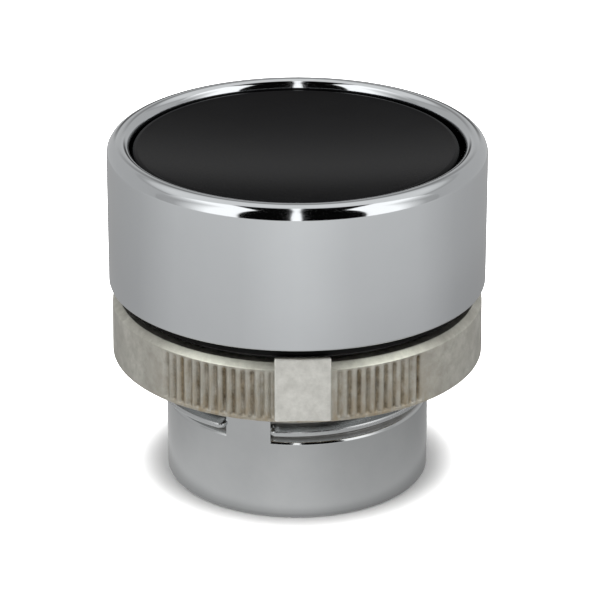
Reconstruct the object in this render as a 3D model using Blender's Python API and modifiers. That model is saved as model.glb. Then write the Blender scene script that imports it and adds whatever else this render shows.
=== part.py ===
"""Head of a 22 mm panel push button: chromed bezel, flush black cap on a spring, threaded shank, ring nut.

Metres, +Z up. The origin is on the axis at the rear end of the shank.
The cap faces +Z and the front of the nut faces -Y.
Angles are counted from the front, -Y, towards +X.
"""

from math import cos, pi, radians, sin, tau

import bmesh
import bpy
from mathutils import Matrix

# ---- driving dimensions -------------------------------------------------------------------------------

BEZEL_R = 0.01475            # outside of the chromed ring
BEZEL_BORE_R = 0.01295       # hole that the cap fills
BEZEL_Z0 = 0.01612           # rear edge of the bezel, the side that faces the panel
BEZEL_Z1 = 0.02762           # highest point of the rim
RIM_OUTER_R = 0.00100        # rounding of the rim's outer edge
RIM_INNER_R = 0.00070        # rounding of the rim's inner edge
BEZEL_EDGE_R = 0.00020       # rounding of the rear edge
POCKET_R = 0.01385           # rear pocket of the bezel, which holds the shank's flange
POCKET_DEPTH = 0.00378

FLANGE_R = 0.01370
FLANGE_Z1 = 0.01970
ORING_GROOVE_R = 0.01290
ORING_GROOVE_HALF = 0.00050
ORING_Z = 0.01800
ORING_R = 0.01338
ORING_WIRE_R = 0.00040

COLLAR_R = 0.01150           # collar inside the cap's skirt
COLLAR_Z1 = 0.02120
BORE_R = 0.00900             # bore that the plunger head slides in

TUBE_R = 0.01033             # plain rear tube that the contact block's adapter slips over
TUBE_INNER_R = 0.00890
TUBE_Z1 = 0.00642            # shoulder where the tube ends and the thread relief starts
TUBE_EDGE_R = 0.00040
TUBE_MOUTH_CHAMFER = 0.00020
SHELF_Z0 = 0.00890           # inner shelf that carries the bush and the spring
SHELF_Z1 = 0.01040
SHELF_HOLE_R = 0.00435

THREAD_CREST_R = 0.01090     # M22 x 1.5 outside thread
THREAD_ROOT_R = 0.01005
THREAD_RELIEF_R = 0.00995
THREAD_RELIEF_WIDTH = 0.00060
THREAD_EMBED = 0.00040       # how far the ridges reach into the shank's wall
THREAD_HALF_CREST = 0.00014
THREAD_HALF_FOOT = 0.00062
STRIP_EMBED = 0.00050
THREAD_PITCH = 0.00150
THREAD_Z_FRONT = 0.00755     # height of the first ridge at the front
THREAD_TURNS = 5
THREAD_GAP = (radians(-32.0), radians(-11.5))   # plain strip that interrupts the thread
THREAD_START = radians(-100.0)

NUT_BORE_R = 0.01108
NUT_R = 0.01450
NUT_Z0 = 0.01018
NUT_Z1 = 0.01488
NUT_RIM = 0.00030            # smooth band below the ribs
NUT_CHAMFER = (0.00056, 0.00044)
NUT_FOOT_FLARE = 0.00005     # the smooth band stands this far out from the ribs
NUT_FOOT_EDGE = (0.00020, 0.00018)
NUT_PAD_ANGLE = radians(1.65)    # where the nut happens to stand
NUT_PAD_HALF_WIDTH = 0.00214
NUT_PAD_R = (0.01406, 0.01462)
NUT_PAD_Z = (0.01031, 0.01550)
RIB_PHASE = radians(1.15)
RIB_PITCH = radians(2.96)
RIB_DEPTH = 0.00028
RIB_INDICES = (*range(-15, -2), *range(4, 14))   # grooves on each side of the pad, counted from RIB_PHASE

GASKET_R = (0.01120, 0.01400)
GASKET_Z = (0.01540, 0.01602)
LOCK_R = (0.01120, 0.01330)
LOCK_Z = (0.01498, 0.01530)
LOCK_KEY_R = 0.01045
LOCK_KEY_HALF_WIDTH = 0.00160

CAP_R = 0.01270
CAP_Z1 = 0.02715
CAP_DISH = 0.00075           # how far the middle of the cap lies below its edge
CAP_EDGE_R = 0.00035
CAP_EDGE_DROP = 0.00010      # the rounded edge starts this far below the top
CAP_DISH_DROP = 0.00004
CAP_WALL = 0.00105
CAP_UNDER_Z = 0.02565
CAP_HUB_TOP_Z = 0.02500
CAP_SKIRT_Z0 = 0.02400
CAP_HUB_R = (0.00650, 0.00760)
CAP_HUB_Z0 = 0.02130

GROOVE_PLAY = 0.00005        # room beside the clip and the snap ring in their grooves
PLUNGER_STEM_R = 0.00300
PLUNGER_STEM_Z0 = 0.00570
PLUNGER_HEAD_R = 0.00880
PLUNGER_HEAD_Z = (0.01890, 0.02090)
PLUNGER_HUB_R = 0.00585
PLUNGER_HUB_Z1 = 0.02420
PLUNGER_HUB_CHAMFER = 0.00030
PLUNGER_BORE_R = 0.00110     # blind hole for the screw
PLUNGER_BORE_Z1 = 0.01030
SEAL_GROOVE_R = 0.00800
SEAL_Z = (0.01950, 0.02030)
SEAL_PLAY = 0.00006          # room between the seal and its groove
SEAL_GAP = 0.00008           # room between the seal's lips and the bore
SEAL_LIP = 0.00010
SEAL_LIP_RUN = 0.00030
SEAL_WAIST = 0.00020
SNAP_GROOVE_R = 0.00550
SNAP_Z = 0.02255
SNAP_R = 0.00600
SNAP_WIRE_R = 0.00035

BUSH_R = 0.00420
BUSH_BORE_R = 0.00312
BUSH_FLANGE_R = 0.00540
BUSH_Z = (0.00820, 0.00880, 0.01130)
STOP_Z = (0.00762, 0.00812)
STOP_R = (0.00312, 0.00520)
CLIP_Z = (0.00708, 0.00750)
CLIP_R = (0.00265, 0.00450)
CLIP_GROOVE_R = 0.00252
CLIP_MOUTH_HALF = 0.00160

FOOT_Z = (0.00440, 0.00680)
FOOT_HUB_R = 0.00430
FOOT_ARM_HALF_LENGTH = 0.00760
FOOT_ARM_HALF_WIDTH = 0.00160
FOOT_POCKET_R = 0.00312
FOOT_POCKET_Z0 = 0.00556
FOOT_SCREW_HOLE_R = 0.00115
FOOT_SINK_R = 0.00240
FOOT_SINK_Z1 = 0.00520
FOOT_ARM_Z = (0.00450, 0.00620)
SCREW_HEAD_R = 0.00220
SCREW_R = 0.00100
SCREW_Z = (0.00446, 0.00510, 0.01000)
SCREW_SLOT_HALF_WIDTH = 0.00028
SCREW_SLOT_DEPTH = 0.00030
SCREW_SLOT_ANGLE = radians(30.0)
SCREW_HEAD_CHAMFER = 0.00010
SCREW_TIP = ((0.00040, 0.00980), (0.00100, 0.00910))   # radius and height of the two corners of the point

SPRING_R = 0.00620
SPRING_WIRE_R = 0.00035
SPRING_Z = (0.01100, 0.01880)
SPRING_TURNS = 4
SPRING_POINTS = 12           # points round one coil
SPRING_FLAT_POINTS = 9       # points of each end coil that lies flat
SPRING_FLAT_RISE = 1.12      # rise of a flat coil, in wire thicknesses
SEAT_R = (0.00455, 0.00870)
SEAT_Z = (0.01048, 0.01088)

BIG_STEPS = 60               # facets round the bezel and the ring nut
MID_STEPS = 40               # facets round the shank, the cap and what runs in the bore
SMALL_STEPS = 30             # facets round the small inner pieces
THREAD_STEPS = 30            # facets round one turn of the thread
WIRE_SIDES = 6
SHARP_ANGLE = radians(32.0)


# ---- scene helpers ------------------------------------------------------------------------------------

def clear_scene():
    for obj in list(bpy.data.objects):
        bpy.data.objects.remove(obj, do_unlink=True)


def new_collection(name):
    collection = bpy.data.collections.new(name)
    bpy.context.scene.collection.children.link(collection)
    return collection


def material(name, colour, roughness, metallic=0.0):
    mat = bpy.data.materials.new(name)
    mat.use_nodes = True
    shader = mat.node_tree.nodes["Principled BSDF"]
    shader.inputs["Base Color"].default_value = (*colour, 1.0)
    shader.inputs["Roughness"].default_value = roughness
    shader.inputs["Metallic"].default_value = metallic
    return mat


def new_object(name, bm, collection):
    mesh = bpy.data.meshes.new(name)
    bm.to_mesh(mesh)
    bm.free()
    obj = bpy.data.objects.new(name, mesh)
    collection.objects.link(obj)
    return obj


def as_cutter(obj):
    obj.hide_render = True
    obj.display_type = "WIRE"
    return obj


def combine(obj, other, operation):
    modifier = obj.modifiers.new(other.name, "BOOLEAN")
    modifier.operation = operation
    modifier.solver = "EXACT"
    modifier.object = other


def settle(obj, mat):
    """Turn an object's modifiers into its mesh, shade it between its sharp edges and give it a material."""
    evaluated = obj.evaluated_get(bpy.context.evaluated_depsgraph_get())
    mesh = bpy.data.meshes.new_from_object(evaluated)
    mesh.name = obj.name
    obj.modifiers.clear()
    obj.data = mesh
    mesh.shade_smooth()
    mesh.set_sharp_from_angle(angle=SHARP_ANGLE)
    mesh.materials.clear()
    mesh.materials.append(mat)
    return obj


# ---- shapes -------------------------------------------------------------------------------------------

def arc(centre, radius, start_deg, end_deg, segments):
    """Points of an arc in the plane of the radius and the height."""
    points = []
    for i in range(segments + 1):
        angle = radians(start_deg + (end_deg - start_deg) * i / segments)
        points.append((centre[0] + radius * cos(angle), centre[1] + radius * sin(angle)))
    return points


def turned(name, outline, steps, collection, closed=True):
    """A turned solid. The outline runs down the outer side; an open one starts and ends on the axis."""
    bm = bmesh.new()
    verts = [bm.verts.new((r, 0.0, z)) for r, z in outline]
    for a, b in zip(verts, verts[1:]):
        bm.edges.new((a, b))
    if closed:
        bm.edges.new((verts[-1], verts[0]))
    obj = new_object(name, bm, collection)
    screw = obj.modifiers.new("turn", "SCREW")
    screw.axis = "Z"
    screw.angle = tau
    screw.steps = steps
    screw.render_steps = steps
    screw.use_merge_vertices = True
    screw.merge_threshold = 0.00001
    return obj


def ring(name, radii, heights, steps, collection):
    (inner, outer), (low, high) = radii, heights
    outline = [(outer, high), (outer, low), (inner, low), (inner, high)]
    return turned(name, outline, steps, collection)


def round_ring(name, ring_r, wire_r, height, steps, collection):
    outline = arc((ring_r, height), wire_r, 90, 90 - 360 * (WIRE_SIDES - 1) / WIRE_SIDES, WIRE_SIDES - 1)
    return turned(name, outline, steps, collection)


def block(name, low, high, collection, turn=0.0):
    """A box between two corners, turned about the Z axis."""
    bm = bmesh.new()
    bmesh.ops.create_cube(bm, size=1.0)
    size = [b - a for a, b in zip(low, high)]
    middle = [(a + b) / 2 for a, b in zip(low, high)]
    bmesh.ops.scale(bm, vec=size, verts=bm.verts)
    bmesh.ops.translate(bm, vec=middle, verts=bm.verts)
    bmesh.ops.rotate(bm, cent=(0, 0, 0), matrix=Matrix.Rotation(turn, 3, "Z"), verts=bm.verts)
    return new_object(name, bm, collection)


def add_sweep(bm, section, start, end, rise, steps):
    """Sweep a section of (radius, height) points round the axis from one angle to another while it rises."""
    loops = []
    for i in range(steps + 1):
        share = i / steps
        angle = start + (end - start) * share - pi / 2
        lift = rise * share
        loops.append([bm.verts.new((r * cos(angle), r * sin(angle), z + lift)) for r, z in section])
    count = len(section)
    for a, b in zip(loops, loops[1:]):
        for j in range(count):
            k = (j + 1) % count
            bm.faces.new((a[j], b[j], b[k], a[k]))
    bm.faces.new(loops[0])
    bm.faces.new(reversed(loops[-1]))


def thread_ridges(collection):
    """The crests of the outside thread, one sweep per turn between the two sides of the plain strip."""
    bm = bmesh.new()
    base = THREAD_ROOT_R - THREAD_EMBED
    gap_start, gap_end = THREAD_GAP

    def height(angle):
        return THREAD_Z_FRONT + THREAD_PITCH * angle / tau

    def ridge(start, end):
        z = height(start)
        section = [
            (base, z + THREAD_HALF_FOOT), (THREAD_CREST_R, z + THREAD_HALF_CREST),
            (THREAD_CREST_R, z - THREAD_HALF_CREST), (base, z - THREAD_HALF_FOOT),
        ]
        steps = round((end - start) / tau * THREAD_STEPS)
        add_sweep(bm, section, start, end, height(end) - z, steps)

    ridge(THREAD_START, gap_start)
    for turn in range(THREAD_TURNS):
        ridge(gap_end + turn * tau, gap_start + (turn + 1) * tau)
    bmesh.ops.recalc_face_normals(bm, faces=bm.faces)
    return as_cutter(new_object("thread_ridges", bm, collection))


def plain_strip(collection):
    """The strip, flush with the tube, that runs up through the thread and its relief."""
    bm = bmesh.new()
    low, high = TUBE_Z1 - STRIP_EMBED, BEZEL_Z0 - STRIP_EMBED
    inner = THREAD_RELIEF_R - STRIP_EMBED
    section = [(inner, high), (TUBE_R, high), (TUBE_R, low), (inner, low)]
    add_sweep(bm, section, THREAD_GAP[0], THREAD_GAP[1], 0.0, 4)
    bmesh.ops.recalc_face_normals(bm, faces=bm.faces)
    return as_cutter(new_object("plain_strip", bm, collection))


# ---- the pieces ---------------------------------------------------------------------------------------

def make_bezel(parts, mat):
    pocket_z1 = BEZEL_Z0 + POCKET_DEPTH
    outline = arc((BEZEL_R - RIM_OUTER_R, BEZEL_Z1 - RIM_OUTER_R), RIM_OUTER_R, 90, 0, 4)
    outline += arc((BEZEL_R - BEZEL_EDGE_R, BEZEL_Z0 + BEZEL_EDGE_R), BEZEL_EDGE_R, 0, -90, 1)
    outline += [
        (POCKET_R, BEZEL_Z0), (POCKET_R, pocket_z1),
        (BEZEL_BORE_R, pocket_z1 + POCKET_R - BEZEL_BORE_R),
    ]
    outline += arc((BEZEL_BORE_R + RIM_INNER_R, BEZEL_Z1 - RIM_INNER_R), RIM_INNER_R, 180, 90, 3)
    settle(turned("bezel_ring", outline, BIG_STEPS, parts), mat)


def make_shank(parts, cutters, mat):
    outline = [
        (COLLAR_R, COLLAR_Z1), (COLLAR_R, FLANGE_Z1), (FLANGE_R, FLANGE_Z1),
        (FLANGE_R, ORING_Z + ORING_GROOVE_HALF), (ORING_GROOVE_R, ORING_Z + ORING_GROOVE_HALF),
        (ORING_GROOVE_R, ORING_Z - ORING_GROOVE_HALF), (FLANGE_R, ORING_Z - ORING_GROOVE_HALF),
        (FLANGE_R, BEZEL_Z0), (THREAD_ROOT_R, BEZEL_Z0), (THREAD_ROOT_R, TUBE_Z1 + THREAD_RELIEF_WIDTH),
        (THREAD_RELIEF_R, TUBE_Z1 + TUBE_R - THREAD_RELIEF_R), (TUBE_R, TUBE_Z1),
    ]
    outline += arc((TUBE_R - TUBE_EDGE_R, TUBE_EDGE_R), TUBE_EDGE_R, 0, -90, 2)
    outline += [
        (TUBE_INNER_R + TUBE_MOUTH_CHAMFER, 0.0), (TUBE_INNER_R, TUBE_MOUTH_CHAMFER),
        (TUBE_INNER_R, SHELF_Z0), (SHELF_HOLE_R, SHELF_Z0),
        (SHELF_HOLE_R, SHELF_Z1), (BORE_R, SHELF_Z1), (BORE_R, COLLAR_Z1),
    ]
    shank = turned("threaded_shank", outline, MID_STEPS, parts)
    combine(shank, plain_strip(cutters), "UNION")
    combine(shank, thread_ridges(cutters), "UNION")
    settle(shank, mat)


def make_ring_nut(parts, cutters, mat):
    run, drop = NUT_CHAMFER
    edge_run, edge_rise = NUT_FOOT_EDGE
    foot_r = NUT_R + NUT_FOOT_FLARE
    outline = [
        (NUT_R - run, NUT_Z1), (NUT_R, NUT_Z1 - drop),
        (foot_r, NUT_Z0 + edge_rise), (foot_r - edge_run, NUT_Z0),
        (NUT_BORE_R, NUT_Z0), (NUT_BORE_R, NUT_Z1),
    ]
    nut = turned("ring_nut", outline, BIG_STEPS, parts)
    grooves = bmesh.new()
    low, high = NUT_Z0 + NUT_RIM, NUT_Z1 - drop
    for side in (0.0, pi):
        for index in RIB_INDICES:
            angle = side + RIB_PHASE + index * RIB_PITCH
            outside = Matrix.Translation((0, -NUT_R - RIB_DEPTH, (low + high) / 2))
            place = Matrix.Rotation(angle, 4, "Z") @ outside
            bmesh.ops.create_cone(
                grooves, cap_ends=True, segments=3, radius1=2 * RIB_DEPTH, radius2=2 * RIB_DEPTH,
                depth=high - low, matrix=place,
            )
    combine(nut, as_cutter(new_object("rib_grooves", grooves, cutters)), "DIFFERENCE")
    for i, side in enumerate((0.0, pi)):
        pad = block(
            f"nut_pad_{i + 1}", (-NUT_PAD_HALF_WIDTH, -NUT_PAD_R[1], NUT_PAD_Z[0]),
            (NUT_PAD_HALF_WIDTH, -NUT_PAD_R[0], NUT_PAD_Z[1]), cutters, side + NUT_PAD_ANGLE,
        )
        combine(nut, as_cutter(pad), "UNION")
    settle(nut, mat)
    return nut


def make_lock_washer(parts, cutters, mat):
    washer = ring("lock_washer", LOCK_R, LOCK_Z, MID_STEPS, parts)
    key = block(
        "lock_washer_key", (-LOCK_KEY_HALF_WIDTH, -sum(LOCK_R) / 2, LOCK_Z[0]),
        (LOCK_KEY_HALF_WIDTH, -LOCK_KEY_R, LOCK_Z[1]), cutters, sum(THREAD_GAP) / 2,
    )
    combine(washer, as_cutter(key), "UNION")
    settle(washer, mat)
    return washer


def make_cap(parts, mat):
    dish_r = (CAP_R**2 + CAP_DISH**2) / (2 * CAP_DISH)

    def dish(radius):
        """Height of the concave top over a point this far from the axis."""
        return CAP_Z1 - CAP_DISH_DROP - CAP_DISH + dish_r - (dish_r**2 - radius**2) ** 0.5

    flat_r = CAP_R - CAP_EDGE_R
    outline = [(flat_r * share, dish(flat_r * share)) for share in (0.0, 0.35, 0.6, 0.8, 1.0)]
    outline += arc((flat_r, CAP_Z1 - CAP_EDGE_R - CAP_EDGE_DROP), CAP_EDGE_R, 60, 0, 2)
    outline += [
        (CAP_R, CAP_SKIRT_Z0), (CAP_R - CAP_WALL, CAP_SKIRT_Z0), (CAP_R - CAP_WALL, CAP_UNDER_Z),
        (CAP_HUB_R[1], CAP_UNDER_Z), (CAP_HUB_R[1], CAP_HUB_Z0), (CAP_HUB_R[0], CAP_HUB_Z0),
        (CAP_HUB_R[0], CAP_HUB_TOP_Z), (0.0, CAP_HUB_TOP_Z),
    ]
    return settle(turned("button_cap", outline, MID_STEPS, parts, closed=False), mat)


def make_plunger(parts, mat):
    head_z0, head_z1 = PLUNGER_HEAD_Z
    snap_z0, snap_z1 = SNAP_Z - SNAP_WIRE_R - GROOVE_PLAY, SNAP_Z + SNAP_WIRE_R + GROOVE_PLAY
    clip_z0, clip_z1 = CLIP_Z[0] - GROOVE_PLAY, CLIP_Z[1] + GROOVE_PLAY
    outline = [
        (0.0, PLUNGER_HUB_Z1), (PLUNGER_HUB_R - PLUNGER_HUB_CHAMFER, PLUNGER_HUB_Z1),
        (PLUNGER_HUB_R, PLUNGER_HUB_Z1 - PLUNGER_HUB_CHAMFER),
        (PLUNGER_HUB_R, snap_z1), (SNAP_GROOVE_R, snap_z1),
        (SNAP_GROOVE_R, snap_z0), (PLUNGER_HUB_R, snap_z0),
        (PLUNGER_HUB_R, head_z1), (PLUNGER_HEAD_R, head_z1), (PLUNGER_HEAD_R, SEAL_Z[1]),
        (SEAL_GROOVE_R, SEAL_Z[1]), (SEAL_GROOVE_R, SEAL_Z[0]), (PLUNGER_HEAD_R, SEAL_Z[0]),
        (PLUNGER_HEAD_R, head_z0), (PLUNGER_STEM_R, head_z0),
        (PLUNGER_STEM_R, clip_z1), (CLIP_GROOVE_R, clip_z1),
        (CLIP_GROOVE_R, clip_z0), (PLUNGER_STEM_R, clip_z0),
        (PLUNGER_STEM_R, PLUNGER_STEM_Z0), (PLUNGER_BORE_R, PLUNGER_STEM_Z0),
        (PLUNGER_BORE_R, PLUNGER_BORE_Z1), (0.0, PLUNGER_BORE_Z1 + PLUNGER_BORE_R / 2),
    ]
    return settle(turned("plunger", outline, MID_STEPS, parts, closed=False), mat)


def make_plunger_seal(parts, mat):
    inner, outer = SEAL_GROOVE_R + SEAL_PLAY, BORE_R - SEAL_GAP
    low, high = SEAL_Z[0] + SEAL_PLAY, SEAL_Z[1] - SEAL_PLAY
    outline = [
        (outer - SEAL_LIP_RUN, high), (outer, high - SEAL_LIP), (outer - SEAL_WAIST, (low + high) / 2),
        (outer, low + SEAL_LIP), (outer - SEAL_LIP_RUN, low), (inner, low), (inner, high),
    ]
    return settle(turned("plunger_seal", outline, MID_STEPS, parts), mat)


def make_bush(parts, mat):
    flange_z0, flange_z1, top = BUSH_Z
    outline = [
        (BUSH_R, top), (BUSH_R, flange_z1), (BUSH_FLANGE_R, flange_z1), (BUSH_FLANGE_R, flange_z0),
        (BUSH_BORE_R, flange_z0), (BUSH_BORE_R, top),
    ]
    settle(turned("guide_bush", outline, SMALL_STEPS, parts), mat)


def make_clip(parts, cutters, mat):
    clip = ring("retaining_clip", CLIP_R, CLIP_Z, SMALL_STEPS, parts)
    mouth = block(
        "clip_mouth", (0.0, -CLIP_MOUTH_HALF, CLIP_Z[0] - CLIP_R[0]),
        (2 * CLIP_R[1], CLIP_MOUTH_HALF, CLIP_Z[1] + CLIP_R[0]), cutters,
    )
    combine(clip, as_cutter(mouth), "DIFFERENCE")
    return settle(clip, mat)


def make_foot(parts, cutters, mat):
    low, high = FOOT_Z
    outline = [
        (FOOT_HUB_R, high), (FOOT_HUB_R, low), (FOOT_SINK_R, low), (FOOT_SINK_R, FOOT_SINK_Z1),
        (FOOT_SCREW_HOLE_R, FOOT_SINK_Z1), (FOOT_SCREW_HOLE_R, FOOT_POCKET_Z0),
        (FOOT_POCKET_R, FOOT_POCKET_Z0), (FOOT_POCKET_R, high),
    ]
    foot = turned("plunger_foot", outline, SMALL_STEPS, parts)
    near = (FOOT_POCKET_R + FOOT_HUB_R) / 2
    for i in range(4):
        arm = block(
            f"foot_arm_{i + 1}", (near, -FOOT_ARM_HALF_WIDTH, FOOT_ARM_Z[0]),
            (FOOT_ARM_HALF_LENGTH, FOOT_ARM_HALF_WIDTH, FOOT_ARM_Z[1]), cutters, i * pi / 2,
        )
        combine(foot, as_cutter(arm), "UNION")
    return settle(foot, mat)


def make_screw(parts, cutters, mat):
    low, neck, tip = SCREW_Z
    outline = [
        (0.0, tip), *SCREW_TIP, (SCREW_R, neck), (SCREW_HEAD_R, neck),
        (SCREW_HEAD_R, low + SCREW_HEAD_CHAMFER), (SCREW_HEAD_R - SCREW_HEAD_CHAMFER, low), (0.0, low),
    ]
    screw = turned("foot_screw", outline, SMALL_STEPS, parts, closed=False)
    slot = block(
        "screw_slot", (-2 * SCREW_HEAD_R, -SCREW_SLOT_HALF_WIDTH, low - SCREW_SLOT_DEPTH),
        (2 * SCREW_HEAD_R, SCREW_SLOT_HALF_WIDTH, low + SCREW_SLOT_DEPTH), cutters, SCREW_SLOT_ANGLE,
    )
    combine(screw, as_cutter(slot), "DIFFERENCE")
    return settle(screw, mat)


def make_spring(parts, mat):
    """A compression spring whose end coils lie flat."""
    low, high = SPRING_Z[0] + SPRING_WIRE_R, SPRING_Z[1] - SPRING_WIRE_R
    count = SPRING_TURNS * SPRING_POINTS
    flat = SPRING_FLAT_POINTS
    curve = bpy.data.curves.new("return_spring", "CURVE")
    curve.dimensions = "3D"
    curve.bevel_depth = SPRING_WIRE_R
    curve.bevel_resolution = 2
    curve.use_fill_caps = True
    spline = curve.splines.new("POLY")
    spline.points.add(count)
    closed_step = 2 * SPRING_WIRE_R * SPRING_FLAT_RISE / SPRING_POINTS
    free_step = (high - low - 2 * flat * closed_step) / (count - 2 * flat)
    z = low
    for i, point in enumerate(spline.points):
        angle = tau * i / SPRING_POINTS
        point.co = (SPRING_R * cos(angle), SPRING_R * sin(angle), z, 1.0)
        z += closed_step if i < flat or i >= count - flat else free_step
    wire = bpy.data.objects.new("return_spring_wire", curve)
    parts.objects.link(wire)
    mesh = bpy.data.meshes.new_from_object(wire.evaluated_get(bpy.context.evaluated_depsgraph_get()))
    bpy.data.objects.remove(wire, do_unlink=True)
    bm = bmesh.new()
    bm.from_mesh(mesh)
    bpy.data.meshes.remove(mesh)
    bmesh.ops.remove_doubles(bm, verts=bm.verts, dist=0.000005)
    return settle(new_object("return_spring", bm, parts), mat)


def motion_empty(name, collection, parent=None):
    empty = bpy.data.objects.new(name, None)
    empty.empty_display_size = 0.005
    collection.objects.link(empty)
    empty.parent = parent
    return empty


def main():
    clear_scene()
    parts = new_collection("push_button_head")
    cutters = new_collection("cutters")

    chrome = material("chrome_plate", (0.62, 0.63, 0.64), 0.12, 1.0)
    zinc = material("satin_zinc", (0.50, 0.51, 0.51), 0.32, 1.0)
    raw_zinc = material("raw_zinc", (0.55, 0.54, 0.50), 0.55, 0.8)
    black_plastic = material("black_plastic", (0.022, 0.022, 0.024), 0.45)
    rubber = material("black_rubber", (0.015, 0.015, 0.015), 0.75)
    acetal = material("white_acetal", (0.78, 0.77, 0.72), 0.40)
    nitrile = material("nitrile_rubber", (0.02, 0.02, 0.02), 0.6)
    spring_steel = material("spring_steel", (0.45, 0.45, 0.45), 0.30, 1.0)
    black_steel = material("blackened_steel", (0.05, 0.05, 0.05), 0.45, 0.6)
    stainless = material("stainless_steel", (0.60, 0.60, 0.59), 0.28, 1.0)

    make_bezel(parts, chrome)
    make_shank(parts, cutters, zinc)
    settle(round_ring("bezel_o_ring", ORING_R, ORING_WIRE_R, ORING_Z, MID_STEPS, parts), nitrile)
    settle(ring("panel_gasket", GASKET_R, GASKET_Z, MID_STEPS, parts), rubber)
    make_bush(parts, acetal)
    settle(ring("spring_seat_washer", SEAT_R, SEAT_Z, SMALL_STEPS, parts), stainless)
    make_spring(parts, spring_steel)

    press = motion_empty("press_motion", parts)
    pressed = [
        make_cap(parts, black_plastic),
        make_plunger(parts, acetal),
        make_plunger_seal(parts, nitrile),
        settle(round_ring("cap_snap_ring", SNAP_R, SNAP_WIRE_R, SNAP_Z, SMALL_STEPS, parts), spring_steel),
        settle(ring("stop_washer", STOP_R, STOP_Z, SMALL_STEPS, parts), rubber),
        make_clip(parts, cutters, spring_steel),
        make_foot(parts, cutters, acetal),
        make_screw(parts, cutters, stainless),
    ]
    for piece in pressed:
        piece.parent = press

    travel = motion_empty("nut_travel_motion", parts)
    turn = motion_empty("nut_turn_motion", parts, travel)
    make_lock_washer(parts, cutters, black_steel).parent = travel
    make_ring_nut(parts, cutters, raw_zinc).parent = turn

    for cutter in list(cutters.objects):
        bpy.data.objects.remove(cutter, do_unlink=True)
    bpy.data.collections.remove(cutters)


main()
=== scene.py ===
"""Looks of a 22 mm push button head: chromed bezel, black concave cap, satin rear tube, raw zinc ring nut.

Metres, +Z up, the front of the ring nut faces -Y. Angles are counted from the front, -Y, towards +X.
"""

from math import cos, pi, radians, sin, sqrt, tan, tau

import bmesh
import bpy
from mathutils import Matrix, Vector


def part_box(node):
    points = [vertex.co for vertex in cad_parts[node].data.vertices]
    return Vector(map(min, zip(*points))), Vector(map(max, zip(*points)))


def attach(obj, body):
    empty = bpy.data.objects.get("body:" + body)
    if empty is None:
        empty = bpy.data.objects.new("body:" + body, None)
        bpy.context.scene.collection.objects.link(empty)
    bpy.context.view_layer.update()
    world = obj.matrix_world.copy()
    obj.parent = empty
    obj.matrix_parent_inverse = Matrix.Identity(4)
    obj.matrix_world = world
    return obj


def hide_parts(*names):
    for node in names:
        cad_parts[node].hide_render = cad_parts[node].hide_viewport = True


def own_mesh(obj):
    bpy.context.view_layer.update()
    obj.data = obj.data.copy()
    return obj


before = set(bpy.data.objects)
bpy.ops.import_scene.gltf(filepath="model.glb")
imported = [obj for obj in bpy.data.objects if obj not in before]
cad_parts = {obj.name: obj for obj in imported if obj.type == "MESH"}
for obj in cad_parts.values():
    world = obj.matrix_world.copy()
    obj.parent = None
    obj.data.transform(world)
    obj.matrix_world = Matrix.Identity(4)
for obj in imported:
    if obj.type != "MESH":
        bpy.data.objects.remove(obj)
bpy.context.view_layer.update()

MM = 0.001
SUPPORT = 0.00002            # straight stretch beside a rounding, which keeps the wall's shading even
FINE_STEPS = 240             # facets round the large pieces
SHANK_STEPS = 360
WELD = 0.0000001             # points nearer than this are one


# ---- mesh helpers -------------------------------------------------------------------------------------

def rounded(corners, segments=5, closed=True):
    """An outline of (radius, height) points from corners in millimetres: radius, height, rounding."""
    outline = []
    last = len(corners) - 1
    for i, (r, z, radius) in enumerate(corners):
        here = Vector((r, z)) * MM
        if radius == 0 or (not closed and i in (0, last)):
            outline.append(here)
            continue
        before = (Vector(corners[i - 1][:2]) * MM - here).normalized()
        after = (Vector(corners[(i + 1) % (last + 1)][:2]) * MM - here).normalized()
        half = before.angle(after) / 2
        reach = radius * MM / tan(half)
        centre = here + (before + after).normalized() * radius * MM / sin(half)
        first, end = here + before * reach - centre, here + after * reach - centre
        turn = first.angle(end)
        outline.append(centre + first + before * SUPPORT)
        for k in range(segments + 1):
            share = k / segments
            outline.append(
                centre + (first * sin((1 - share) * turn) + end * sin(share * turn)) / sin(turn)
            )
        outline.append(centre + end + after * SUPPORT)
    return outline


def new_object(name, bm):
    bmesh.ops.recalc_face_normals(bm, faces=bm.faces)
    mesh = bpy.data.meshes.new(name)
    bm.to_mesh(mesh)
    bm.free()
    obj = bpy.data.objects.new(name, mesh)
    bpy.context.scene.collection.objects.link(obj)
    return obj


def add_skin(bm, columns, closed_outline=True, closed_ring=True):
    """Faces between columns of points; unless the ring is closed the first and last column are capped."""
    rows = [[bm.verts.new(point) for point in column] for column in columns]
    count = len(rows[0])
    pairs = list(zip(rows, rows[1:]))
    if closed_ring:
        pairs.append((rows[-1], rows[0]))
    for a, b in pairs:
        for j in range(count if closed_outline else count - 1):
            k = (j + 1) % count
            bm.faces.new((a[j], b[j], b[k], a[k]))
    if not closed_ring:
        bm.faces.new(rows[0])
        bm.faces.new(reversed(rows[-1]))


def at(angle, radius, height, centre=(0.0, 0.0)):
    return Vector((centre[0] + radius * sin(angle), centre[1] - radius * cos(angle), height))


def lathe(name, outline, steps=FINE_STEPS, closed=True, centre=(0.0, 0.0)):
    """A turned solid; an open outline starts and ends on the axis."""
    bm = bmesh.new()
    columns = [
        [at(tau * i / steps, point.x, point.y, centre) for point in outline] for i in range(steps)
    ]
    add_skin(bm, columns, closed_outline=closed)
    if not closed:
        bmesh.ops.remove_doubles(bm, verts=bm.verts, dist=WELD)
    return new_object(name, bm)


def combine(obj, other, operation):
    modifier = obj.modifiers.new(other.name, "BOOLEAN")
    modifier.operation = operation
    modifier.solver = "EXACT"
    modifier.object = other
    mesh = bpy.data.meshes.new_from_object(obj.evaluated_get(bpy.context.evaluated_depsgraph_get()))
    obj.modifiers.clear()
    obj.data = mesh
    bpy.data.objects.remove(other, do_unlink=True)


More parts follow.
